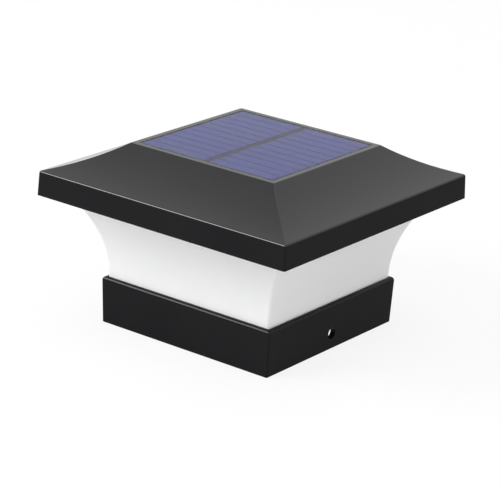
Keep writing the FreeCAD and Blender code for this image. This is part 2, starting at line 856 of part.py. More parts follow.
def switch_seat(body):
    """Finger recess, knob slot and screw pilots for the slide switch."""
    recess = new_sketch(body, "finger_recess", "floor_under + finger_depth")
    add_rectangle(recess, "0", "switch_y", "finger_half_length", "finger_half_width", "2")
    pocket(body, recess, "finger_depth")
    slot = new_sketch(body, "knob_slot", "floor_top")
    add_rectangle(slot, "0", "switch_y", "slider_rest + knob_half_length + slot_play",
                  "knob_half_width + 0.4")
    pocket(body, slot, "floor_top - floor_under")
    pilots = new_sketch(body, "switch_pilots", "floor_top")
    for sign in (-1, 1):
        add_circle(pilots, f"{sign} * switch_screw_x", "switch_y", "switch_pilot_radius")
    pocket(body, pilots, "switch_pilot_depth")


# ---------------------------------------------------------------- battery bay pieces

def battery_door():
    """Door that hooks on the hinge rod and is held by one screw at its other end."""
    body = new_body("door_body")
    plate = new_sketch(body, "door_plate", "door_under")
    add_rectangle(plate, "(door_front - door_back) / 2", "0",
                  "(door_front + door_back) / 2", "door_half_width")
    pad(body, plate, "door_thickness")
    ribs = new_sketch(body, "cell_ribs", DOOR_TOP)
    for sign in (-1, 1):
        add_rectangle(ribs, f"{sign} * cell_rib_x", "0", "cell_rib_half_length",
                      "cell_rib_half_width")
    pad(body, ribs, "cell_rib_height")
    knuckle = new_sketch(body, "hook_knuckle", role="XZ_Plane")
    add_circle(knuckle, "-hinge_reach", "hinge_height",
               "hinge_rod_radius + hinge_play + hook_wall")
    pad(body, knuckle, "2 * hook_outside", symmetric=True)
    web = new_sketch(body, "hook_web", "door_under")
    add_rectangle(web, "-(hinge_reach + door_back) / 2", "0",
                  "(hinge_reach - door_back) / 2 + 0.2", "hook_outside")
    pad(body, web, "door_thickness")
    bore = new_sketch(body, "hook_bore", role="XZ_Plane")
    add_circle(bore, "-hinge_reach", "hinge_height", "hinge_rod_radius + hinge_play")
    pocket(body, bore, "2 * hook_outside + 1", symmetric=True)
    mouth = new_sketch(body, "hook_mouth", role="XZ_Plane")
    add_rectangle(mouth, "-hinge_reach - 1", "hinge_height", "1", "hook_mouth_half")
    pocket(body, mouth, "2 * hook_outside + 1", symmetric=True)
    waist = new_sketch(body, "hook_waist", "door_under + 4")
    add_rectangle(waist, "-hinge_reach", "0", "hinge_reach - door_back", "hook_inside")
    pocket(body, waist, "6")
    hole = new_sketch(body, "door_screw_hole", DOOR_TOP)
    add_circle(hole, "door_screw_reach", "0", "door_screw_hole")
    pocket(body, hole, "door_thickness")
    finish(body, "battery_door")


def door_seal():
    body = new_body("door_seal_body")
    sketch = new_sketch(body, "seal_outline", DOOR_TOP)
    for margin in ("seal_margin + seal_width", "seal_margin"):
        add_rectangle(sketch, "0", "0", f"bay_half_length + {margin}",
                      f"bay_half_width + {margin}", "1")
    pad(body, sketch, f"rebate_top - ({DOOR_TOP}) - seal_gap")
    finish(body, "door_seal")


def battery_case():
    """Box over the bay mouth that holds the cell and carries the light board."""
    body = new_body("case_body")
    block = new_sketch(body, "case_block", "frame_top")
    add_rectangle(block, "0", "0", "case_half_length", "case_half_width", "1.5")
    pad(body, block, "case_top - frame_top")
    ears = new_sketch(body, "case_ears", "frame_top")
    for sign_x, sign_y in CORNERS:
        add_rectangle(ears, f"{sign_x} * case_screw_x", f"{sign_y} * (case_screw_y - 1.2)",
                      "case_ear_half", "case_ear_half + 0.6")
    pad(body, ears, "case_ear_top - frame_top")
    posts = new_sketch(body, "board_posts", "case_top")
    corner_circles(posts, "post_x", "post_y", "post_radius")
    pad(body, posts, "post_height")
    hollow = new_sketch(body, "case_hollow", "case_top - case_roof")
    add_rectangle(hollow, "0", "0", "bay_half_length", "bay_half_width")
    pocket(body, hollow, "case_top - case_roof - frame_top")
    slots = new_sketch(body, "tag_slots", "case_top")
    for sign in (-1, 1):
        add_rectangle(slots, f"{sign} * (bay_half_length - 0.3)", "0", "0.4",
                      "tag_half_width + 0.2")
    pocket(body, slots, "case_roof")
    ear_holes = new_sketch(body, "ear_holes", "case_ear_top")
    corner_circles(ear_holes, "case_screw_x", "case_screw_y", "case_ear_hole")
    pocket(body, ear_holes, "case_ear_top - frame_top")
    pilots = new_sketch(body, "post_pilots", LIGHT_BOARD_UNDER)
    corner_circles(pilots, "post_x", "post_y", "post_pilot_radius")
    pocket(body, pilots, "post_pilot_depth")
    finish(body, "battery_case")


def battery():
    """Rechargeable cell lying along X: a steel can with its nub, in a shrunk-on sleeve."""
    height = "cell_axis_height"
    length = "can_back + can_front"
    can = rod_along_x("can", "-can_back", "0", height, "can_radius", length)
    nub = rod_along_x("nub", "can_front", "0", height, "nub_radius",
                      "bay_half_length - contact_thickness - can_front")
    finish(fuse("can_with_nub", [can, nub]), "battery_cell")
    skin = "sleeve_thickness"
    outside = rod_along_x("sleeve_outside", f"-can_back - {skin}", "0", height,
                          f"can_radius + {skin}", f"{length} + 2 * {skin}")
    inside = rod_along_x("sleeve_inside", "-can_back", "0", height, "can_radius", length)
    mouths = rod_along_x("sleeve_mouths", "-can_back - 1", "0", height,
                         "can_radius - 1.4", f"{length} + 2")
    finish(cut("sleeve", outside, fuse("sleeve_bore", [inside, mouths])), "battery_sleeve")


def contact_plate(label, sign):
    """Spring-steel plate at one end of the bay, with a solder tag through the case's roof."""
    x = "bay_half_length - contact_thickness" if sign > 0 else "-bay_half_length"
    plate = box(f"{label}_plate", x, "-contact_half_width", "contact_low",
                "contact_thickness", "2 * contact_half_width", "contact_high - contact_low")
    tag = box(f"{label}_tag", x, "-tag_half_width", "contact_low",
              "contact_thickness", "2 * tag_half_width", "tag_top - contact_low")
    finish(fuse(f"{label}_metal", [plate, tag]), label)


def biarc(start, start_heading, end, end_heading):
    """Two arcs that join two points with given headings and share a tangent between them."""
    chord = end - start
    both = start_heading + end_heading
    spread = 2 * (1 - start_heading.dot(end_heading))
    along = chord.dot(both)
    reach = (-along + math.sqrt(along ** 2 + spread * chord.dot(chord))) / spread
    first_peak = start + start_heading * reach
    last_peak = end - end_heading * reach
    joint = (first_peak + last_peak) / 2
    return [arc_by_peak(start, first_peak, joint), arc_by_peak(joint, last_peak, end)]


def arc_by_peak(start, peak, end):
    """Arc between two points whose end tangents meet at the peak."""
    middle = (start + end) / 2
    weight = (middle - start).Length / (peak - start).Length
    return Part.Arc(start, (middle + peak * weight) / (1 + weight), end).toShape()


def coil_place(share):
    """Point of the spring's centre line, from the plate at share 0 to the cell at share 1."""
    low = -value("bay_half_length - contact_thickness - spring_wire_radius")
    high = -value("can_back + spring_wire_radius")
    wide = value("spring_plate_radius")
    radius = wide + (value("spring_cell_radius") - wide) * share
    angle = 2 * math.pi * value("spring_turns") * share
    return Vector(low + (high - low) * share, radius * math.cos(angle),
                  value("cell_axis_height") + radius * math.sin(angle))


def coil_heading(share):
    step = 1e-5
    return (coil_place(share + step) - coil_place(share - step)).normalize()


def least_coil_gap(turns):
    """Least distance between neighbouring curls of the wire."""
    samples = 60 * turns
    places = [coil_place(i / samples) for i in range(samples + 1)]
    pairs = ((a, b) for a in range(samples) for b in range(a + 40, samples + 1))
    nearest = min((places[a] - places[b]).Length for a, b in pairs)
    return nearest - 2 * value("spring_wire_radius")


def sweep_round(path, start, heading, radius):
    """Round bar along a path that starts at a point with a heading."""
    ring = Part.Wire(Part.Circle(start, heading, radius).toShape())
    return path.makePipe(Part.Face(ring))


def battery_spring():
    """Conical spring between the negative contact plate and the cell."""
    turns = int(value("spring_turns"))
    steps = 4 * turns
    edges = []
    for step in range(steps):
        first = step / steps
        last = (step + 1) / steps
        edges += biarc(coil_place(first), coil_heading(first), coil_place(last), coil_heading(last))
    feature = doc.addObject("Part::Feature", "spring_wire")
    feature.Shape = sweep_round(Part.Wire(edges), coil_place(0), coil_heading(0),
                                value("spring_wire_radius"))
    feature.Placement = Placement()
    print(f"spring: least gap between curls {least_coil_gap(turns):.2f} mm")
    finish(feature, "battery_spring")


# ---------------------------------------------------------------- leads

def lead(label, stops):
    """Insulated lead through stops: straight runs joined by tangent arcs."""
    points = [Vector(*(value(part) for part in stop)) for stop in stops]
    radius = value("lead_radius")
    edges = []
    here = points[0]
    for before, corner, after in zip(points, points[1:], points[2:]):
        back = (before - corner).normalize()
        ahead = (after - corner).normalize()
        trim = 0.45 * min((before - corner).Length, (after - corner).Length)
        edges.append(Part.LineSegment(here, corner + back * trim).toShape())
        edges.append(arc_by_peak(corner + back * trim, corner, corner + ahead * trim))
        here = corner + ahead * trim
        bend = trim * math.tan(back.getAngle(ahead) / 2)
        print(f"{label}: bend radius {bend:.1f} mm")
    edges.append(Part.LineSegment(here, points[-1]).toShape())
    path = Part.Wire(edges)
    shape = sweep_round(path, points[0], points[1] - points[0], radius)
    expected = math.pi * radius ** 2 * path.Length
    if abs(shape.Volume / expected - 1) > 0.02:
        raise RuntimeError(f"{label} has volume {shape.Volume:.1f}, not {expected:.1f}")
    feature = doc.addObject("Part::Feature", f"{label}_wire")
    feature.Shape = shape
    feature.Placement = Placement()
    finish(feature, label)


def leads():
    """Panel leads to the light board, and the battery circuit through the switch."""
    board = LIGHT_BOARD_TOP
    tag = "bay_half_length - contact_thickness / 2"
    lead("panel_lead_red", [
        ("lead_hole_reach", 0, BOARD_UNDER), ("lead_hole_reach", 0, 75), (4, 1, 66),
        (-1, 4.5, 57), (-10, 6, 51), (-13, 5, 46), (-13, 5, board)])
    lead("panel_lead_black", [
        ("-lead_hole_reach", 0, BOARD_UNDER), ("-lead_hole_reach", 0, 75), (0, -2, 65),
        (-7, -5, 58), (-12.5, -6, 51), (-13, -5, 46), (-13, -5, board)])
    lead("battery_lead_red", [
        (tag, 0, "tag_top"), (tag, 0, 45), (24.5, 1.5, 48.5), (19, 0, 47), (19, 0, board)])
    lead("battery_lead_black", [
        (f"-({tag})", 0, "tag_top"), (f"-({tag})", 0, 45), (-27, 9, 48), (-20, 19, 45),
        (-9, 26, 39), ("-terminal_pitch", "switch_y", 34), ("-terminal_pitch", "switch_y",
                                                            "terminal_top")])
    lead("switch_lead", [
        (0, "switch_y", "terminal_top"), (0, "switch_y", 34), (3, 25.5, 41), (7, 18.5, 46.5),
        (8.5, 12.5, 47), (8.5, 12.5, board)])


# ---------------------------------------------------------------- light board

def light_board():
    body = new_body("light_board_body")
    sketch = new_sketch(body, "light_board_outline", LIGHT_BOARD_UNDER)
    add_rectangle(sketch, "0", "0", "light_board_half_length", "light_board_half_width")
    corner_circles(sketch, "post_x", "post_y", "board_screw_hole")
    pad(body, sketch, "light_board_thickness")
    finish(body, "light_board")


def leds():
    """Six square light-emitting diodes along the board's two long edges."""
    pieces = []
    for row in (-1, 1):
        for column in (-1, 0, 1):
            pieces.append(box(f"led_{row + 1}_{column + 1}",
                              f"{column} * post_x - led_side / 2",
                              f"{row} * led_y - led_side / 2", LIGHT_BOARD_TOP,
                              "led_side", "led_side", "led_height"))
    finish(group("led_group", pieces), "leds")


def board_parts():
    """Driver chip, charging inductor and smoothing capacitor on the light board."""
    top = LIGHT_BOARD_TOP
    pieces = [box("chip_case", "chip_back", "-chip_half_width", f"{top} + chip_stand",
                  "chip_length", "2 * chip_half_width", "chip_height")]
    for side in (-1, 1):
        y = "-chip_half_reach" if side < 0 else "chip_half_reach - leg_length"
        for leg in range(4):
            x = f"chip_back + leg_width + {leg} * leg_pitch"
            pieces.append(box(f"chip_leg_{side + 1}_{leg}", x, y, top,
                              "leg_width", "leg_length", "leg_height"))
    finish(fuse("chip", pieces), "driver_chip")
    rims = [cylinder(f"drum_rim_{place}", "drum_x", "drum_y", f"{top} + {level}",
                     "drum_rim_radius", "drum_rim_height")
            for place, level in (("low", 0), ("high", "drum_height - drum_rim_height"))]
    core = cylinder("drum_core", "drum_x", "drum_y", top, "drum_core_radius", "drum_height")
    finish(fuse("drum", [*rims, core]), "charge_inductor")
    can = cylinder("capacitor_can", "can_x", "can_y", top, "capacitor_radius",
                   "capacitor_height")
    rounded = doc.addObject("Part::Chamfer", "capacitor_chamfered")
    rounded.Base = can
    doc.recompute()
    high = value(f"{top} + capacitor_height")
    chamfer = value("capacitor_chamfer")
    rim = [(i, chamfer, chamfer) for i, e in enumerate(can.Shape.Edges, start=1)
           if all(abs(v.Z - high) < 1e-6 for v in e.Vertexes)]
    rounded.Edges = rim
    finish(rounded, "smoothing_capacitor")


# ---------------------------------------------------------------- slide switch

def switch():
    """Slide switch on the floor: steel housing, insulating base, terminals and slider."""
    y_low = "switch_y - switch_half_width"
    width = "2 * switch_half_width"
    shell = box("switch_shell", "-switch_half_length", y_low, "floor_top",
                "2 * switch_half_length", width, "switch_height")
    ears = box("switch_ears", "-switch_ear_reach", y_low, "floor_top",
               "2 * switch_ear_reach", width, "switch_ear_thickness")
    inside = box("switch_inside", "-switch_half_length + switch_wall",
                 f"{y_low} + switch_wall", "floor_top + switch_wall",
                 "2 * (switch_half_length - switch_wall)", f"{width} - 2 * switch_wall",
                 "switch_height")
    slot = box("switch_slot", "-slider_rest - knob_half_length - knob_play",
               "switch_y - knob_half_width - 0.15", "floor_top - 1",
               "2 * (slider_rest + knob_half_length + knob_play)",
               "2 * (knob_half_width + 0.15)", "3")
    holes = [cylinder(f"switch_ear_hole_{index}", f"{sign} * switch_screw_x", "switch_y",
                      "floor_top - 1", "switch_ear_hole", "3")
             for index, sign in enumerate((-1, 1))]
    metal = fuse("switch_metal", [shell, ears])
    finish(cut("switch_cut", metal, fuse("switch_cuts", [inside, slot, *holes])),
           "switch_housing")
    base_low = "floor_top + switch_height - switch_base_thickness"
    base = box("switch_base_block", "-switch_half_length + switch_wall",
               f"{y_low} + switch_wall", base_low,
               "2 * (switch_half_length - switch_wall)", f"{width} - 2 * switch_wall",
               "switch_base_thickness")
    pins = []
    slots = []
    for step in (-1, 0, 1):
        for name, things in (("pin", pins), ("pin_slot", slots)):
            things.append(box(f"{name}_{step + 1}", f"{step} * terminal_pitch - 0.6",
                              "switch_y - 0.25", f"{base_low} - 0.3", "1.2", "0.5",
                              f"terminal_top - ({base_low}) + 0.3"))
    finish(cut("switch_base_cut", base, fuse("pin_slots", slots)), "switch_base")
    finish(group("pins", pins), "switch_terminals")


def switch_slider():
    """Slider shown in its off place, with its ribbed knob below the skirt's floor."""
    low = "floor_top + switch_wall + slider_gap"
    flange = box("slider_flange", "-slider_rest - slider_half_length",
                 "switch_y - slider_half_width", low, "2 * slider_half_length",
                 "2 * slider_half_width", "slider_height")
    knob = box("slider_knob", "-slider_rest - knob_half_length",
               "switch_y - knob_half_width", "knob_low", "2 * knob_half_length",
               "2 * knob_half_width", f"{low} - knob_low + 0.5")
    grooves = [box(f"knob_groove_{index}", f"-slider_rest + {place} - 0.2",
                   "switch_y - 2", "knob_low - 1", "0.4", "4", "1.4")
               for index, place in enumerate((-0.6, 0, 0.6))]
    finish(cut("slider_grooved", fuse("slider_solid", [flange, knob]),
               fuse("knob_grooves", grooves)), "switch_slider")


# ---------------------------------------------------------------- screws

def screw(name, x, y, seat, kind, head_up):
    """Pan-head screw with a cross recess. Its head bears on the seat's level."""
    head_radius = f"{kind}_head"
    head_height = f"{kind}_rise"
    shank_radius = f"{kind}_shank"
    length = f"{kind}_length"
    head = doc.addObject("Part::Cone", f"{name}_head")
    bind(head, {"Radius1": head_radius, "Radius2": f"0.75 * {head_radius}",
                "Height": head_height})
    shank = doc.addObject("Part::Cylinder", f"{name}_shank")
    bind(shank, {"Radius": shank_radius, "Height": length})
    shank.Placement.Rotation = Rotation(Vector(1, 0, 0), 180)
    arms = []
    for turn in (0, 90):
        arm = doc.addObject("Part::Box", f"{name}_arm_{turn}")
        arm.Placement.Rotation = Rotation(Vector(0, 0, 1), turn)
        corner_x = f"-{head_radius} / 2" if turn == 0 else f"{head_radius} / 8"
        corner_y = f"-{head_radius} / 8" if turn == 0 else f"-{head_radius} / 2"
        bind(arm, {"Length": head_radius, "Width": f"{head_radius} / 4", "Height": head_height,
                   "Placement.Base.x": corner_x, "Placement.Base.y": corner_y,
                   "Placement.Base.z": f"0.45 * {head_height}"})
        arms.append(arm)
    solid = cut(f"{name}_solid", fuse(f"{name}_blank", [head, shank]),
                fuse(f"{name}_recess", arms))
    solid.Placement.Rotation = Rotation(Vector(1, 0, 0), 0 if head_up else 180)
    bind(solid, {"Placement.Base.x": x, "Placement.Base.y": y, "Placement.Base.z": seat})
    return solid


def corner_screws(label, x, y, seat, kind, head_up):
    """Four alike screws, one in each quarter of the object."""
    pieces = [screw(f"{label}_{index}", f"{sign_x} * ({x})", f"{sign_y} * ({y})",
                    seat, kind, head_up)
              for index, (sign_x, sign_y) in enumerate(CORNERS)]
    finish(group(f"{label}_group", pieces), label)


def screws():
    corner_screws("roof_screws", "roof_screw_reach", "roof_screw_reach",
                  "flange_under", "roof_screw", False)
    corner_screws("lens_screws", "lens_screw_reach", "lens_screw_reach",
                  "floor_under", "lens_screw", False)
    corner_screws("case_screws", "case_screw_x", "case_screw_y",
                  "case_ear_top", "case_screw", True)
    corner_screws("board_screws", "post_x", "post_y", LIGHT_BOARD_TOP, "board_screw", True)
    pair = [screw(f"switch_screw_{index}", f"{sign} * switch_screw_x", "switch_y",
                  "floor_top + switch_ear_thickness", "switch_screw", True)
            for index, sign in enumerate((-1, 1))]
    finish(group("switch_screw_pair", pair), "switch_screws")
    finish(screw("door_screw_part", "door_screw_reach", "0", "door_under",
                 "door_screw", False), "door_screw")


# ---------------------------------------------------------------- checks and export

def check_objects():
    doc.recompute()
    for thing in doc.Objects:
        if "Invalid" in thing.State or "Error" in thing.State:
            raise RuntimeError(f"{thing.Name} failed: {thing.State}")
    for piece in finished:
        if piece.Shape.isNull() or not piece.Shape.isValid():
            raise RuntimeError(f"{piece.Label} has no valid shape")


def export_parts():
    os.makedirs("parts", exist_ok=True)
    for piece in finished:
        piece.Shape.exportStep(f"parts/{piece.Label}.step")
        print(f"{piece.Label}: {len(piece.Shape.Solids)} solid(s), "
              f"{piece.Shape.Volume / 1000:.2f} cm3")


def main():
    fill_sheet()
    roof_cap()
    panel_pieces()
    lead_sealant()
    diffuser_lens()
    gaskets()
    reflector_plate()
    base_skirt()
    battery_door()
    door_seal()
    battery_case()
    battery()
    contact_plate("positive_contact", 1)
    contact_plate("negative_contact", -1)
    battery_spring()
    light_board()
    leds()
    board_parts()
    switch()
    switch_slider()
    screws()
    leads()
    check_objects()
    export_parts()


main()
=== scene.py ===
import logging
import math
from collections.abc import Callable
from dataclasses import dataclass
from enum import Enum

import bmesh
import bpy
from mathutils import Matrix, Vector


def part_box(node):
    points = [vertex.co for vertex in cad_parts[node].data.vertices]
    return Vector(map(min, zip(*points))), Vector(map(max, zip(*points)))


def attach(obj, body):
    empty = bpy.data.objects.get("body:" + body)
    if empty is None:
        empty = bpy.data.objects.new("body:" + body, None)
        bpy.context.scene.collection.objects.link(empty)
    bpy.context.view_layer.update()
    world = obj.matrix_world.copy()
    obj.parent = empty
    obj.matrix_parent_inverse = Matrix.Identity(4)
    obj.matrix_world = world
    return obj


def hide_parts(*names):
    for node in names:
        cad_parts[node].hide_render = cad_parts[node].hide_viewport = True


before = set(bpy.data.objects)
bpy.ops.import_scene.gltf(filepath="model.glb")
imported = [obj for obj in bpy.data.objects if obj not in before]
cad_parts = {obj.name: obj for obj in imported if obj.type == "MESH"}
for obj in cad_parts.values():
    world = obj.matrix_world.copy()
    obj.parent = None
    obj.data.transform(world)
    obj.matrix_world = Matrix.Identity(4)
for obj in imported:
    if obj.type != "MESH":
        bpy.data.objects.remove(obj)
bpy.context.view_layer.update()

MM = 0.001
Colour = tuple[float, float, float]
Place = tuple[float, float, float]

# Brushed metal's noise is drawn out along X.
BRUSH_SCALE = (0.08, 1.0, 1.0)
# Fine grains across one broad patch of colour and gloss, and the octaves of both noises.
GRAINS_IN_PATCH = 25
BROAD_DETAIL = 5.0
FINE_DETAIL = 4.0
# Share of the fine relief that shows, and the least roughness that a gloss wanders to.
RELIEF_STRENGTH = 0.5
LEAST_ROUGHNESS = 0.02
# Reach of the light that scatters inside: shares in red, green and blue of so many metres.
SCATTER_RADIUS = (1.0, 1.0, 1.0)
SCATTER_SCALE = 0.003
# Sockets of a colour mix node, whose names are also those of its other sockets.
MIX_FIRST = 6
MIX_SECOND = 7
MIX_COLOUR = 2

log = logging.getLogger("post_cap_light")


class Pattern(Enum):
    """What the surface of a finish shows close up."""

    MOULDED = "moulded"
    BRUSHED = "brushed"
    CELLULAR = "cellular"
    FINGERS = "fingers"
    TRACKS = "tracks"


class Tree:
    """Node tree of a material or a world, filled step by step."""

    def __init__(self, tree: bpy.types.NodeTree) -> None:
        """Empty the tree.

        Args:
            tree: The tree to fill.
        """
        self.tree = tree
        self.tree.nodes.clear()

    def add(self, kind: str, **settings: object) -> bpy.types.Node:
        """Add a node.

        Args:
            kind: Blender's name of the node type.
            **settings: Properties to set on it.

        Returns:
            The new node.
        """
        node = self.tree.nodes.new(kind)
        for key, setting in settings.items():
            setattr(node, key, setting)
        return node

    def link(self, start: bpy.types.Node, output: str | int,
             end: bpy.types.Node, socket: str | int) -> None:
        """Join an output of one node to an input of another."""
        self.tree.links.new(start.outputs[output], end.inputs[socket])

    def math(self, operation: str, source: bpy.types.Node, output: str | int,
             amount: float) -> bpy.types.Node:
        """Apply a sum to one output.

        Args:
            operation: Name of the sum.
            source: Node that gives the first number.
            output: Which of its outputs.
            amount: The second number.

        Returns:
            The math node.
        """
        node = self.add("ShaderNodeMath", operation=operation)
        self.link(source, output, node, 0)
        node.inputs[1].default_value = amount
        return node

    def either(self, one: bpy.types.Node, output: str | int, other: bpy.types.Node,
               socket: str | int) -> bpy.types.Node:
        """Give the larger of two outputs.

        Args:
            one: Node that gives the first number.
            output: Which of its outputs.
            other: Node that gives the second number.
            socket: Which of its outputs.

        Returns:
            The math node.
        """
        node = self.add("ShaderNodeMath", operation="MAXIMUM")
        self.link(one, output, node, 0)
        self.link(other, socket, node, 1)
        return node

    def mix(self, first: Colour, second: Colour, factor: bpy.types.Node,
            output: str | int) -> bpy.types.Node:
        """Blend two plain colours by a number.

        Args:
            first: Colour where the number is 0.
            second: Colour where it is 1.
            factor: Node that gives the number.
            output: Which of its outputs.

        Returns:
            The mix node, whose output MIX_COLOUR is the colour.
        """
        node = self.add("ShaderNodeMix", data_type="RGBA")
        node.inputs[MIX_FIRST].default_value = (*first, 1.0)
        node.inputs[MIX_SECOND].default_value = (*second, 1.0)
        self.link(factor, output, node, 0)
        return node

    def blend(self, share: bpy.types.Node, output: str | int, first: bpy.types.Node,
              second: bpy.types.Node) -> bpy.types.Node:
        """Blend two shaders by a number.

        Args:
            share: Node that gives the number.
            output: Which of its outputs.
            first: Shader where the number is 0.
            second: Shader where it is 1.

        Returns:
            The mix shader node.
        """
        node = self.add("ShaderNodeMixShader")
        self.link(share, output, node, 0)
        self.link(first, 0, node, 1)
        self.link(second, 0, node, 2)
        return node

    def open_view(self) -> bpy.types.Node:
        """Tell rays of the camera, of mirrors and through glass from all others.

        Returns:
            The math node, which gives 1 for those rays and 0 for the others.
        """
        path = self.add("ShaderNodeLightPath")
        seen = self.either(path, "Is Camera Ray", path, "Is Glossy Ray")
        return self.either(seen, 0, path, "Is Transmission Ray")


class Graph(Tree):
    """Node tree of one material, with its Principled shader."""

    def __init__(self, name: str) -> None:
        """Start an empty material.

        Args:
            name: The material's name.
        """
        self.material = bpy.data.materials.new(name)
        self.material.use_nodes = True
        super().__init__(self.material.node_tree)
        self.output = self.add("ShaderNodeOutputMaterial")
        self.shader = self.add("ShaderNodeBsdfPrincipled")
        self.link(self.shader, "BSDF", self.output, "Surface")


@dataclass(frozen=True)
class Finish:
    """A material's colour, gloss and fine relief.

    Attributes:
        name: The material's name.
        colour: Main colour.
        shade: Colour that it wanders towards.
        pattern: What the surface shows close up.
        roughness: Middle roughness.
        spread: How far the roughness wanders.
        metallic: 1 for bare metal.
        specular: Specular level.
        grain: Noise scale, per metre.
        relief: Depth of the fine relief, in metres.
        ior: Index of refraction.
        transmission: Share of light that passes as through glass.
        subsurface: Share of light that scatters inside.
        coat: Weight of a clear coat.
        pitch: Spacing of a ruled pattern, in metres.
        line: Width of its lines, in metres.
        mottle: How much a ruled colour varies from place to place.
    """

    name: str
    colour: Colour
    shade: Colour
    pattern: Pattern = Pattern.MOULDED
    roughness: float = 0.4
    spread: float = 0.06
    metallic: float = 0.0
    specular: float = 0.5
    grain: float = 900.0
    relief: float = 0.00002
    ior: float = 1.5
    transmission: float = 0.0
    subsurface: float = 0.0
    coat: float = 0.0
    pitch: float = 0.0014
    line: float = 0.0001
    mottle: float = 0.5

    def material(self) -> bpy.types.Material:
        """Build the node material.

        Returns:
            The finished material.
        """
        graph = Graph(self.name)
        place = graph.add("ShaderNodeTexCoord")
        scale = graph.add("ShaderNodeMapping")
        if self.pattern is Pattern.BRUSHED:
            scale.inputs["Scale"].default_value = BRUSH_SCALE
        graph.link(place, "Object", scale, "Vector")
        fine = self.fine_texture(graph, scale)
        broad = graph.add("ShaderNodeTexNoise")
        broad.inputs["Scale"].default_value = self.grain / GRAINS_IN_PATCH
        broad.inputs["Detail"].default_value = BROAD_DETAIL
        graph.link(place, "Object", broad, "Vector")
        self.paint(graph, place, broad)
        wander = graph.add("ShaderNodeMapRange")
        least = max(self.roughness - self.spread, LEAST_ROUGHNESS)
        wander.inputs["To Min"].default_value = least
        wander.inputs["To Max"].default_value = self.roughness + self.spread
        graph.link(broad, 0, wander, "Value")
        graph.link(wander, 0, graph.shader, "Roughness")
        bump = graph.add("ShaderNodeBump")
        bump.inputs["Strength"].default_value = RELIEF_STRENGTH
        bump.inputs["Distance"].default_value = self.relief
        graph.link(fine, 0, bump, "Height")
        graph.link(bump, 0, graph.shader, "Normal")
        self.set_constants(graph)
        if self.transmission == 1.0:
            self.pass_light(graph)
        return graph.material

    def pass_light(self, graph: Graph) -> None:
        """Let lamps and soft light through a clear cover to what lies under it.

        Args:
            graph: The cover's graph.
        """
        path = graph.add("ShaderNodeLightPath")
        either = graph.either(path, "Is Shadow Ray", path, "Is Diffuse Ray")
        open_air = graph.add("ShaderNodeBsdfTransparent")
        mixed = graph.blend(either, 0, graph.shader, open_air)
        graph.link(mixed, 0, graph.output, "Surface")

    def fine_texture(self, graph: Graph, place: bpy.types.Node) -> bpy.types.Node:
        """Add the texture that gives the fine relief.

        Args:
            graph: The material's graph.
            place: Node that gives the coordinates.

        Returns:
            A texture node whose first output is the height.
        """
        if self.pattern is Pattern.CELLULAR:
            fine = graph.add("ShaderNodeTexVoronoi")
        else:
            fine = graph.add("ShaderNodeTexNoise")
            fine.inputs["Detail"].default_value = FINE_DETAIL
        fine.inputs["Scale"].default_value = self.grain
        graph.link(place, 0, fine, "Vector")
        return fine

    def paint(self, graph: Graph, place: bpy.types.Node, broad: bpy.types.Node) -> None:
        """Colour the shader, with ruled lines where the pattern has them.

        Args:
            graph: The material's graph.
            place: Texture coordinates.
            broad: Noise that the colour wanders with.
        """
        if self.pattern not in (Pattern.FINGERS, Pattern.TRACKS):
            wandering = graph.mix(self.colour, self.shade, broad, 0)
            graph.link(wandering, MIX_COLOUR, graph.shader, "Base Color")
            return
        axes = graph.add("ShaderNodeSeparateXYZ")
        graph.link(place, "Object", axes, 0)
        rows = graph.math("DIVIDE", axes, 0, self.pitch)
        part = graph.math("FRACT", rows, 0, 0.0)
        lines = graph.math("LESS_THAN", part, 0, self.line / self.pitch)
        ruled = graph.mix(self.colour, self.shade, lines, 0)
        tint = graph.add("ShaderNodeMix", data_type="RGBA", blend_type="MULTIPLY")
        tint.inputs[0].default_value = self.mottle
        graph.link(ruled, MIX_COLOUR, tint, MIX_FIRST)
        graph.link(broad, 0, tint, MIX_SECOND)
        graph.link(tint, MIX_COLOUR, graph.shader, "Base Color")

    def set_constants(self, graph: Graph) -> None:
        """Set what is the same all over on the shader's own sockets.

        Args:
            graph: The material's graph.
        """
        inputs = graph.shader.inputs
        inputs["Metallic"].default_value = self.metallic
        inputs["Specular IOR Level"].default_value = self.specular
        inputs["IOR"].default_value = self.ior
        inputs["Transmission Weight"].default_value = self.transmission
        inputs["Subsurface Weight"].default_value = self.subsurface
        inputs["Subsurface Radius"].default_value = SCATTER_RADIUS
        inputs["Subsurface Scale"].default_value = SCATTER_SCALE
        inputs["Coat Weight"].default_value = self.coat


BLACK_GLOSS = Finish("black_gloss_moulding", (0.004, 0.004, 0.005), (0.007, 0.007, 0.008),
                     roughness=0.085, spread=0.025, specular=0.42, grain=600.0,
                     relief=0.000003)
# Painted shade: the same black plastic as the gloss, copied for upright faces with its reflection
# nearly taken out and its colour set so the sides render as dark as they are in shade.
BLACK_SIDE_PAINTED_SHADE = Finish("black_side_painted_shade", (0.011, 0.011, 0.012), (0.015, 0.015, 0.016),
                    roughness=0.10, spread=0.03, specular=0.02, grain=600.0, relief=0.000003)
BLACK_SHOULDER = Finish("black_moulded_shoulder", (0.004, 0.004, 0.005), (0.007, 0.007, 0.008),
                        roughness=0.10, spread=0.03, specular=0.16, grain=600.0,
                        relief=0.000003)
BLACK_SATIN = Finish("black_satin_moulding", (0.012, 0.012, 0.013), (0.020, 0.019, 0.019),
                     roughness=0.38, grain=1500.0)
FROSTED = Finish("frosted_lens", (0.96, 0.96, 0.955), (0.93, 0.935, 0.945),
                 roughness=0.42, spread=0.05, grain=2500.0, transmission=0.20, subsurface=0.25)
WHITE_PLATE = Finish("white_reflector", (0.86, 0.86, 0.85), (0.80, 0.80, 0.79), roughness=0.3)
SILICON = Finish("silicon_strip", (0.016, 0.024, 0.18), (0.035, 0.045, 0.21), Pattern.FINGERS,
                 roughness=0.3, specular=0.1)
LAMINATE = Finish("panel_laminate", (0.022, 0.022, 0.028), (0.030, 0.030, 0.036),
                  roughness=0.5, specular=0.1)
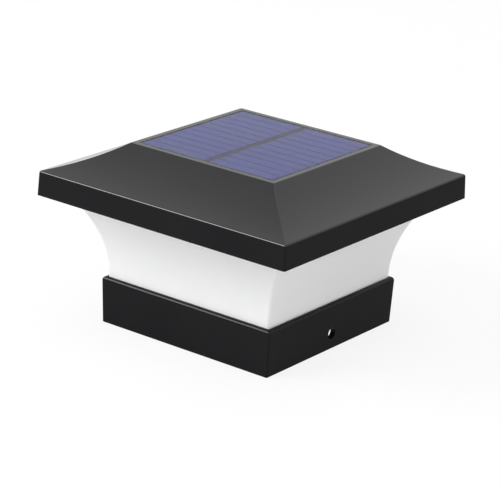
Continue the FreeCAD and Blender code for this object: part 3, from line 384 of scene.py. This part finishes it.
CLEAR = Finish("panel_cover", (0.96, 0.97, 1.0), (0.93, 0.94, 0.98), roughness=0.06,
               ior=1.08, spread=0.03, grain=500.0, relief=0.000004, transmission=1.0)
SEALANT = Finish("cured_sealant", (0.62, 0.61, 0.58), (0.50, 0.49, 0.46), roughness=0.45,
                 relief=0.00008, subsurface=0.2)
FOAM = Finish("foam_rubber", (0.020, 0.020, 0.021), (0.040, 0.039, 0.038), Pattern.CELLULAR,
              roughness=0.85, grain=1800.0, relief=0.00012)
RUBBER = Finish("soft_rubber", (0.018, 0.018, 0.018), (0.030, 0.029, 0.028), roughness=0.6)
ZINC = Finish("zinc_plated_steel", (0.52, 0.53, 0.54), (0.40, 0.41, 0.42), Pattern.BRUSHED,
              roughness=0.32, metallic=1.0)
STAINLESS = Finish("stainless_steel", (0.60, 0.59, 0.57), (0.48, 0.47, 0.46), Pattern.BRUSHED,
                   roughness=0.25, metallic=1.0)
NICKEL = Finish("nickel_plate", (0.66, 0.63, 0.57), (0.54, 0.51, 0.46), Pattern.BRUSHED,
                roughness=0.2, metallic=1.0)
TIN = Finish("tinned_metal", (0.68, 0.68, 0.67), (0.52, 0.52, 0.51), roughness=0.28,
             metallic=1.0, relief=0.00004)
RIBBON = Finish("dull_ribbon", (0.035, 0.035, 0.042), (0.025, 0.025, 0.030),
                roughness=0.6, specular=0.1, relief=0.00004)
SOLDER = Finish("solder", (0.62, 0.62, 0.63), (0.44, 0.44, 0.45), roughness=0.22, metallic=1.0,
                relief=0.00005)
SLEEVE_FILM = Finish("cell_sleeve", (0.03, 0.24, 0.08), (0.02, 0.17, 0.05), roughness=0.22,
                     coat=0.4)
WHITE_MASK = Finish("white_board", (0.78, 0.79, 0.77), (0.66, 0.67, 0.65), Pattern.TRACKS,
                    roughness=0.35, pitch=0.0031, line=0.0005)
LED_BODY = Finish("led_package", (0.82, 0.81, 0.76), (0.74, 0.73, 0.68), roughness=0.3)
PHOSPHOR = Finish("led_phosphor", (0.80, 0.60, 0.10), (0.70, 0.50, 0.07), roughness=0.25,
                  subsurface=0.3)
EPOXY = Finish("moulded_epoxy", (0.015, 0.015, 0.016), (0.028, 0.028, 0.028), roughness=0.55,
               relief=0.00005)
FERRITE = Finish("ferrite", (0.055, 0.050, 0.047), (0.085, 0.078, 0.072), roughness=0.7,
                 relief=0.00008)
CAN_SLEEVE = Finish("capacitor_sleeve", (0.012, 0.018, 0.060), (0.020, 0.026, 0.080),
                    roughness=0.25)
PHENOLIC = Finish("phenolic_board", (0.20, 0.09, 0.035), (0.13, 0.06, 0.025), roughness=0.5)
BRASS = Finish("tinned_brass", (0.60, 0.53, 0.34), (0.48, 0.42, 0.26), Pattern.BRUSHED,
               roughness=0.3, metallic=1.0)
RED_WIRE = Finish("red_insulation", (0.42, 0.012, 0.010), (0.32, 0.010, 0.008), roughness=0.4)
BLACK_WIRE = Finish("black_insulation", (0.014, 0.014, 0.015), (0.024, 0.023, 0.023),
                    roughness=0.4)


class Workshop:
    """Makes each finish once, dresses nodes and hands new pieces to their bodies.

    Attributes:
        upright: A face whose normal rises by less than this counts as a side; sides wear the copy
            with painted shade where a moulding has one.
        weld: Corners nearer than this become one.
        made: The materials made so far.
    """

    upright = 0.35
    weld = 0.001 * MM

    def __init__(self) -> None:
        """Start with no materials made."""
        self.made: dict[str, bpy.types.Material] = {}

    def material(self, finish: Finish) -> bpy.types.Material:
        """Give a finish's material, made the first time it is asked for.

        Args:
            finish: The finish.

        Returns:
            Its one material.
        """
        if finish.name not in self.made:
            self.made[finish.name] = finish.material()
        return self.made[finish.name]

    def wear(self, thing: bpy.types.Object, finish: Finish) -> None:
        """Give an object one material in place of those it has."""
        thing.data.materials.clear()
        thing.data.materials.append(self.material(finish))

    def dress(self, finish: Finish, *nodes: str) -> None:
        """Give carried-over nodes a finish.

        Args:
            finish: What they wear.
            *nodes: Their names.
        """
        for node in nodes:
            self.wear(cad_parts[node], finish)
            log.info("%s wears %s", node, finish.name)

    def piece(self, name: str, form: bmesh.types.BMesh, finish: Finish, body: str,
              slot: str) -> bpy.types.Object:
        """Turn a form into an object that rides on a body.

        Args:
            name: The piece's name.
            form: Its geometry, which is freed.
            finish: What it wears.
            body: The body that it rides on.
            slot: The record's material slot that it stands for; not used.

        Returns:
            The new object.
        """
        mesh = bpy.data.meshes.new(name)
        form.to_mesh(mesh)
        form.free()
        thing = bpy.data.objects.new(name, mesh)
        bpy.context.scene.collection.objects.link(thing)
        self.wear(thing, finish)
        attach(thing, body)
        log.info("%s: %d faces on body %s", name, len(mesh.polygons), body)
        return thing

    def moulding(self, name: str, node: str, finish: Finish, body: str,
                 side: Finish | None = None, crease: float = math.radians(28),
                 shift: Callable[[Vector], Vector] | None = None) -> bpy.types.Object:
        """Smooth-shaded piece that stands for a node with curved faces.

        Args:
            name: The piece's name.
            node: The node whose form it takes.
            finish: What it wears.
            body: The body that it rides on.
            side: Copy of the finish, with painted shade, that its upright faces wear, where there
                is one.
            crease: Edges that turn by more than this stay sharp.
            shift: Where it moves each corner of the form to, if it moves any.

        Returns:
            The new object.
        """
        form = bmesh.new()
        form.from_mesh(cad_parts[node].data)
        bmesh.ops.remove_doubles(form, verts=form.verts, dist=self.weld)
        if shift:
            for vert in form.verts:
                vert.co = shift(vert.co)
        for face in form.faces:
            face.smooth = True
        for edge in form.edges:
            edge.smooth = edge.is_manifold and edge.calc_face_angle(0.0) < crease
        thing = self.piece(name, form, finish, body, node)
        # Upright faces wear the side copy, whose colour and reflection are painted shade.
        if side:
            thing.data.materials.append(self.material(side))
            for face in thing.data.polygons:
                face.material_index = int(abs(face.normal.z) < self.upright)
        # Normals brought over from the solid's mesh would override the smooth shading.
        if "custom_normal" in thing.data.attributes:
            thing.data.attributes.remove(thing.data.attributes["custom_normal"])
        balance = thing.modifiers.new("flat_faces_stay_flat", "WEIGHTED_NORMAL")
        balance.keep_sharp = True
        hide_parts(node)
        return thing


@dataclass
class Roof:
    """Hipped roof and the solar panel that is sunk in it.

    Attributes:
        shop: The workshop that makes the pieces.
        body: The body that they ride on.
        cell_gap: Air between the cells and their cover.
        cover_edge: Softened edge of the cover.
        rise: How much higher the photograph shows the panel's face than the solids have it.
        strip_rise: How much higher it shows the strips, seen through the cover.
        inset: How much narrower it shows the panel and its well.
        well_half: Half width of the well in the solid.
        strip_pitch: Spacing of the cell strips.
        strip_narrowing: Share of a strip's width that is left once its slit is widened.
        slack: How near the well's wall or floor a corner counts as on it.
    """

    shop: Workshop
    body: str = "light"
    cell_gap: float = 0.06 * MM
    cover_edge: float = 0.02 * MM
    rise: float = 1.29 * MM
    strip_rise: float = 1.95 * MM
    inset: float = 0.4 * MM
    well_half: float = 38.7 * MM
    strip_pitch: float = 6.8 * MM
    strip_narrowing: float = 0.97
    slack: float = 0.05 * MM

    def build(self) -> None:
        """Build the roof and the panel."""
        # The roof's upright faces wear the side copy with painted shade.
        self.shop.moulding("roof_moulding", "roof_cap", BLACK_GLOSS, self.body, BLACK_SIDE_PAINTED_SHADE,
                           shift=self.draw_in_well)
        self.shop.moulding("cell_strips", "solar_cells", SILICON, self.body,
                           shift=self.lift_strip)
        self.shop.moulding("backing_board", "panel_board", LAMINATE, self.body,
                           shift=self.thicken_board)
        self.shop.moulding("middle_ribbon", "cell_ribbon", RIBBON, self.body, shift=self.lift)
        self.shop.dress(SEALANT, "panel_bead", "lead_sealant")
        cover = self.shop.piece("panel_cover", self.cover(), CLEAR, self.body, "panel_glazing")
        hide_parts("panel_glazing")

    def draw_in_well(self, spot: Vector) -> Vector:
        """Move the well's walls inwards.

        Args:
            spot: A corner of the roof.

        Returns:
            Its new place, or the old one where it isn't on the well.
        """
        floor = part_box("panel_bead")[0][2] - self.slack
        if spot.z < floor or max(abs(spot.x), abs(spot.y)) > self.well_half + self.slack:
            return spot
        edge = self.well_half - self.inset
        return Vector((min(max(spot.x, -edge), edge), min(max(spot.y, -edge), edge), spot.z))

    def lift(self, spot: Vector) -> Vector:
        """Raise a corner of the ribbon, or of a strip."""
        return spot + Vector((0.0, 0.0, self.strip_rise))

    def lift_strip(self, spot: Vector) -> Vector:
        """Raise a strip's corner and draw it towards the strip's middle line.

        Args:
            spot: The corner.

        Returns:
            Its new place.
        """
        middle = round(spot.y / self.strip_pitch) * self.strip_pitch
        raised = self.lift(spot)
        raised.y = middle + (spot.y - middle) * self.strip_narrowing
        return raised

    def thicken_board(self, spot: Vector) -> Vector:
        """Raise the board's upper face and draw its edge in with the well's.

        Args:
            spot: A corner of the board.

        Returns:
            Its new place.
        """
        low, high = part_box("panel_board")
        share = 1.0 - self.inset / high[0]
        upper = spot.z > (low[2] + high[2]) / 2
        return Vector((spot.x * share, spot.y * share, spot.z + self.strip_rise * upper))

    def cover(self) -> bmesh.types.BMesh:
        """Shape the clear cover, with a hair of air between it and the cells.

        Returns:
            A slab with softened edges.
        """
        low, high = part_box("panel_glazing")
        low = low + Vector((self.inset, self.inset, self.strip_rise + self.cell_gap))
        high = high + Vector((-self.inset, -self.inset, self.rise))
        form = bmesh.new()
        place = Matrix.Translation((low + high) / 2) @ Matrix.Diagonal((*(high - low), 1.0))
        bmesh.ops.create_cube(form, size=1.0, matrix=place)
        bmesh.ops.bevel(form, geom=form.edges[:], offset=self.cover_edge, segments=2,
                        profile=0.5, affect="EDGES", material=-1)
        return form


@dataclass
class Lens:
    """Flared frosted lens, its gaskets and the reflector over it."""

    shop: Workshop
    body: str = "light"

    def build(self) -> None:
        """Build the lens and dress what closes it."""
        self.shop.moulding("lens_moulding", "diffuser_lens", FROSTED, self.body)
        self.shop.dress(FOAM, "lower_gasket", "upper_gasket")
        self.shop.dress(WHITE_PLATE, "reflector_plate")


@dataclass
class Skirt:
    """Skirt that drops over the post, with its door and switch."""

    shop: Workshop
    body: str = "light"

    def build(self) -> None:
        """Build the skirt and the door and dress the switch."""
        # The skirt's upright faces wear the side copy with painted shade.
        self.shop.moulding("skirt_moulding", "base_skirt", BLACK_SHOULDER, self.body, BLACK_SIDE_PAINTED_SHADE)
        self.shop.moulding("door_moulding", "battery_door", BLACK_SATIN, "door")
        self.shop.dress(RUBBER, "door_seal")
        self.shop.dress(STAINLESS, "door_screw")
        self.shop.dress(TIN, "switch_housing")
        self.shop.dress(PHENOLIC, "switch_base")
        self.shop.dress(BRASS, "switch_terminals")
        self.shop.dress(BLACK_SATIN, "switch_slider")


@dataclass
class BatteryBay:
    """Case, rechargeable cell, contacts and spring."""

    shop: Workshop

    def build(self) -> None:
        """Dress the battery bay."""
        self.shop.dress(BLACK_SATIN, "battery_case")
        self.shop.dress(NICKEL, "battery_cell", "positive_contact", "negative_contact",
                        "battery_spring")
        self.shop.dress(SLEEVE_FILM, "battery_sleeve")


@dataclass
class LightEngine:
    """Board with its diodes and parts, and the leads that end on it.

    Attributes:
        shop: The workshop that makes the pieces.
        window_radius: Radius of a diode's phosphor window.
        window_rise: How far the window's dome stands proud.
        window_rings: Rings of faces in a dome's whole ball.
        led_middle: From a diode's edge to its middle.
        joint_radius: Radius of a solder joint at the board.
        joint_rise: Height of a solder joint.
        joint_neck: Share of the radius that is left at its top.
        joint_sides: Number of a joint's sides.
        lead_ends: Where four of the leads meet the board, in millimetres.
    """

    shop: Workshop
    window_radius: float = 1.7 * MM
    window_rise: float = 0.35 * MM
    window_rings: int = 12
    led_middle: float = 2.5 * MM
    joint_radius: float = 1.2 * MM
    joint_rise: float = 0.7 * MM
    joint_neck: float = 0.62
    joint_sides: int = 20
    lead_ends: tuple[tuple[float, float], ...] = (
        (-13.0, 5.0), (-13.0, -5.0), (19.0, 0.0), (8.5, 12.5))

    def build(self) -> None:
        """Dress the board and its parts and add the windows and the joints."""
        self.shop.dress(WHITE_MASK, "light_board")
        self.shop.dress(LED_BODY, "leds")
        self.shop.dress(EPOXY, "driver_chip")
        self.shop.dress(FERRITE, "charge_inductor")
        self.shop.dress(CAN_SLEEVE, "smoothing_capacitor")
        self.shop.dress(RED_WIRE, "panel_lead_red", "battery_lead_red")
        self.shop.dress(BLACK_WIRE, "panel_lead_black", "battery_lead_black", "switch_lead")
        self.shop.piece("led_windows", self.windows(), PHOSPHOR, "light", "leds")
        self.shop.piece("solder_joints", self.joints(), SOLDER, "light", "light_board")

    def windows(self) -> bmesh.types.BMesh:
        """Shape the domed phosphor windows.

        Returns:
            One low dome on each diode.
        """
        low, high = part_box("leds")
        inset = self.led_middle
        flatten = Matrix.Diagonal((1, 1, self.window_rise / self.window_radius, 1))
        form = bmesh.new()
        for x in (low[0] + inset, (low[0] + high[0]) / 2, high[0] - inset):
            for y in (low[1] + inset, high[1] - inset):
                dome = Matrix.Translation((x, y, high[2])) @ flatten
                bmesh.ops.create_uvsphere(form, u_segments=2 * self.window_rings,
                                          v_segments=self.window_rings,
                                          radius=self.window_radius, matrix=dome)
        return form

    def joints(self) -> bmesh.types.BMesh:
        """Shape the solder joints.

        Returns:
            One cone of solder round each lead's end.
        """
        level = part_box("light_board")[1][2]
        form = bmesh.new()
        for x, y in self.lead_ends:
            place = Matrix.Translation((x * MM, y * MM, level + self.joint_rise / 2))
            bmesh.ops.create_cone(form, cap_ends=True, segments=self.joint_sides,
                                  depth=self.joint_rise, radius1=self.joint_radius,
                                  radius2=self.joint_neck * self.joint_radius, matrix=place)
        return form


@dataclass
class Fasteners:
    """Screws that hold the mouldings, the case and the boards."""

    shop: Workshop

    def build(self) -> None:
        """Dress the screws."""
        self.shop.dress(ZINC, "roof_screws", "lens_screws", "case_screws", "board_screws",
                        "switch_screws")


@dataclass
class Studio:
    """White studio: floor, world, soft lamps and the camera.

    Attributes:
        azimuth: Camera's turn round +Z from -Y, in degrees.
        elevation: Camera's height angle, in degrees.
        roll: Camera's tilt, in degrees.
        distance: From the aimed point, in metres.
        shift_right: Aimed point's offset to the right, in metres.
        shift_up: Aimed point's offset upwards, in metres.
        focal_pixels: Focal length in pixels of the 500-pixel frame.
        frame_pixels: Width of that frame.
        sensor: Width of the camera's sensor, in millimetres.
        ambient: Strength of the world's light on the object.
        floor_reach: Half the floor's side, in metres.
        floor_opening: Half the side of the floor's opening under the skirt.
        floor_white: Share of plain white that the camera and mirrors see in the floor.
        floor_colour: The floor's own grey.
        floor_roughness: The floor's own roughness.
        floor_level: The floor's height, in metres.
        lamps: Name, place, side in metres and power in watts of each lamp.
    """

    azimuth: float = 36.73
    elevation: float = 19.723
    roll: float = 3.041
    distance: float = 1.0652
    shift_right: float = -0.000516
    shift_up: float = 0.033569
    focal_pixels: float = 2254.5
    frame_pixels: float = 500.0
    sensor: float = 36.0
    ambient: float = 0.76
    floor_reach: float = 6.0
    floor_opening: float = 45.0 * MM
    floor_white: float = 0.85
    floor_colour: float = 0.8
    floor_roughness: float = 0.9
    floor_level: float = -0.1 * MM
    lamps: tuple[tuple[str, Place, float, float], ...] = (
        ("key", (-1.5, -1.6, 1.5), 1.2, 46.0),
        ("fill", (1.7, -0.7, 1.2), 1.3, 4.0),
        ("top", (0.0, 0.3, 2.2), 1.6, 9.0))

    def build(self) -> None:
        """Build the floor, the world, the lamps and the camera."""
        self.floor()
        self.world()
        for lamp in self.lamps:
            self.lamp(*lamp)
        self.camera()

    def floor(self) -> None:
        """Lay the pale floor, open under the skirt and seen through from below."""
        form = bmesh.new()
        corner = Matrix.Translation((0, 0, self.floor_level)) @ Matrix.Rotation(math.pi / 4, 4, "Z")
        bmesh.ops.create_circle(form, cap_ends=False, segments=4,
                                radius=self.floor_opening * math.sqrt(2), matrix=corner)
        wider = bmesh.ops.extrude_edge_only(form, edges=form.edges[:])["geom"]
        outer = [part for part in wider if isinstance(part, bmesh.types.BMVert)]
        spread = self.floor_reach / self.floor_opening
        bmesh.ops.scale(form, vec=(spread, spread, 1.0), verts=outer)
        form.normal_update()
        bmesh.ops.reverse_faces(form, faces=[f for f in form.faces if f.normal.z < 0])
        mesh = bpy.data.meshes.new("floor")
        form.to_mesh(mesh)
        form.free()
        thing = bpy.data.objects.new("floor", mesh)
        bpy.context.scene.collection.objects.link(thing)
        graph = Graph("pale_floor")
        graph.shader.inputs["Base Color"].default_value = (*[self.floor_colour] * 3, 1.0)
        graph.shader.inputs["Roughness"].default_value = self.floor_roughness
        graph.shader.inputs["Specular IOR Level"].default_value = 0.0
        white = graph.add("ShaderNodeEmission")
        share = graph.math("MULTIPLY", graph.open_view(), 0, self.floor_white)
        lit = graph.blend(share, 0, graph.shader, white)
        side = graph.add("ShaderNodeNewGeometry")
        clear = graph.add("ShaderNodeBsdfTransparent")
        faced = graph.blend(side, "Backfacing", lit, clear)
        graph.link(faced, 0, graph.output, "Surface")
        mesh.materials.append(graph.material)

    def world(self) -> None:
        """Set a white world that cameras and mirrors see at full strength."""
        world = bpy.data.worlds.new("studio")
        bpy.context.scene.world = world
        world.use_nodes = True
        tree = Tree(world.node_tree)
        output = tree.add("ShaderNodeOutputWorld")
        plain = tree.add("ShaderNodeBackground")
        plain.inputs["Strength"].default_value = self.ambient
        seen = tree.add("ShaderNodeBackground")
        for node in (plain, seen):
            node.inputs["Color"].default_value = (1.0, 1.0, 1.0, 1.0)
        mixed = tree.blend(tree.open_view(), 0, plain, seen)
        tree.link(mixed, 0, output, "Surface")

    def lamp(self, name: str, place: Place, width: float, power: float) -> None:
        """Hang a square soft lamp that faces the object.

        Args:
            name: The lamp's name.
            place: Where it hangs, in metres.
            width: Its side, in metres.
            power: Its power, in watts.
        """
        light = bpy.data.lights.new(name, "AREA")
        light.size = width
        light.energy = power
        thing = bpy.data.objects.new(name, light)
        thing.location = place
        thing.rotation_euler = Vector(place).to_track_quat("Z", "Y").to_euler()
        bpy.context.scene.collection.objects.link(thing)

    def camera(self) -> None:
        """Set the camera where the photograph was taken from."""
        turn = math.radians(self.azimuth)
        lift = math.radians(self.elevation)
        tilt = math.radians(self.roll)
        back = Vector((math.sin(turn) * math.cos(lift), -math.cos(turn) * math.cos(lift),
                       math.sin(lift)))
        right = Vector((math.cos(turn), math.sin(turn), 0.0))
        up = back.cross(right)
        place = right * self.shift_right + up * self.shift_up + back * self.distance
        tilted_right = right * math.cos(tilt) + up * math.sin(tilt)
        tilted_up = up * math.cos(tilt) - right * math.sin(tilt)
        lens = bpy.data.cameras.new("camera")
        lens.sensor_width = self.sensor
        lens.lens = self.focal_pixels / self.frame_pixels * self.sensor
        thing = bpy.data.objects.new("camera", lens)
        axes = Matrix((tilted_right, tilted_up, back)).transposed().to_4x4()
        thing.matrix_world = Matrix.Translation(place) @ axes
        bpy.context.scene.collection.objects.link(thing)
        bpy.context.scene.camera = thing
        bpy.context.scene.view_settings.view_transform = "Standard"


def main() -> None:
    """Build the light, assembly by assembly, and the studio round it."""
    logging.basicConfig(level=logging.INFO)
    shop = Workshop()
    for assembly in (Roof(shop), Lens(shop), Skirt(shop), BatteryBay(shop), LightEngine(shop),
                     Fasteners(shop), Studio()):
        assembly.build()


if __name__ == "__main__":
    main()
